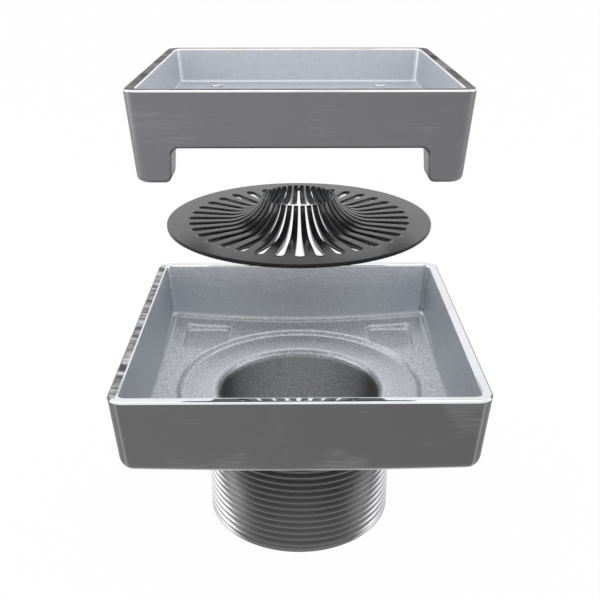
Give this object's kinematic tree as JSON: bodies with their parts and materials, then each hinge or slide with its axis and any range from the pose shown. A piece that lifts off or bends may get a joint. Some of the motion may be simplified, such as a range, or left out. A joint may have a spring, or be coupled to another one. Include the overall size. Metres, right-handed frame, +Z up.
{
  "type": "shower drain",
  "caption": "Square floor drain shown with its pieces lifted apart: cast body with a threaded spigot, a slotted hair strainer and a tile insert tray on corner legs.",
  "frame": {"origin": "centre of the spigot's lower end, on the drain's axis", "axes": "+Z up along the spigot and bore, +X and +Y square to the body's walls"},
  "size_m": [0.1016, 0.1016, 0.1441],
  "materials": {
    "cast_body": "satin cast metal with polished rim and thread",
    "dark_strainer": "dark satin coating",
    "cast_insert": "satin cast metal with polished rim"
  },
  "bodies": {
    "root": {"drain_body": "cast_body", "hair_strainer": "dark_strainer", "tile_insert": "cast_insert"}
  },
  "joints": []
}
